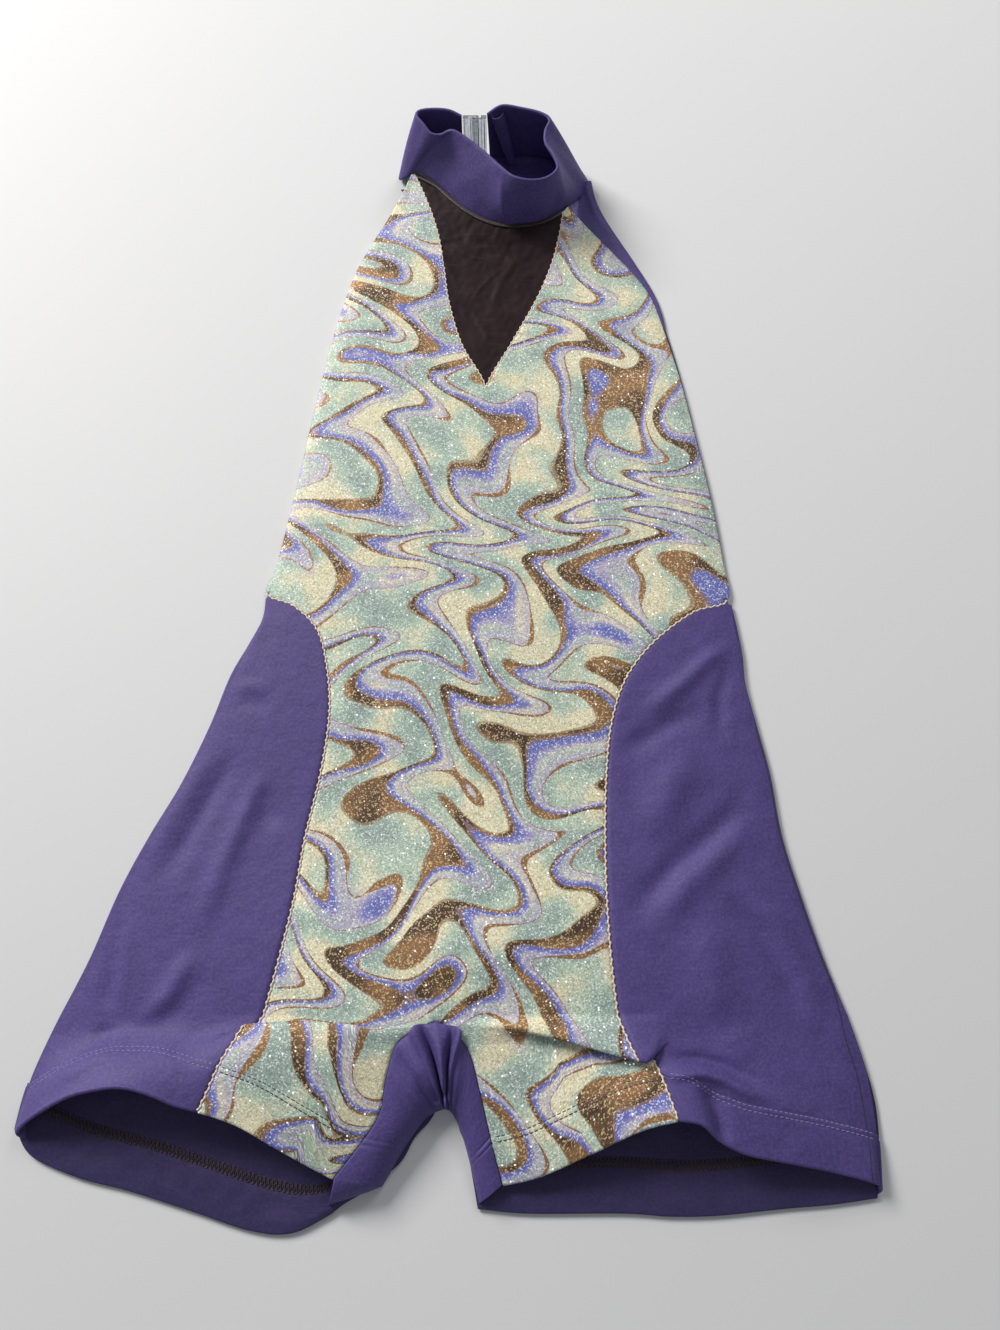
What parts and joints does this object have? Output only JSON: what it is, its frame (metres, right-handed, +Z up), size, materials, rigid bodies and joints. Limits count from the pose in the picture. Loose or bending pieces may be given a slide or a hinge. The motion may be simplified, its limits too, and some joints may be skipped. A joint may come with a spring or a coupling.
{
  "type": "athletic leotard",
  "caption": "Child's halter-neck leotard with short legs, laid flat: glitter print front, navy side panels and back, mesh V inset and a standing collar closed by a clear clasp.",
  "frame": {"origin": "middle of the garment's plan box, on the surface it lies on", "axes": "+Y from the hems to the collar, +X to the right as seen from the hems, +Z up from the surface"},
  "size_m": [0.3848, 0.5883, 0.0405],
  "materials": {
    "navy_spandex": "satin knit",
    "glitter_print": "glittery printed knit",
    "sheer_mesh": "sheer power mesh",
    "clear_clasp": "clear polished plastic"
  },
  "bodies": {
    "root": {"back_panel": "navy_spandex", "front_print_panel": "glitter_print", "side_panel_left": "navy_spandex", "side_panel_right": "navy_spandex", "neck_mesh_inset": "sheer_mesh", "crotch_gusset": "navy_spandex", "collar": "navy_spandex", "clasp_hook_half": "clear_clasp", "clasp_eye_half": "clear_clasp"}
  },
  "joints": []
}
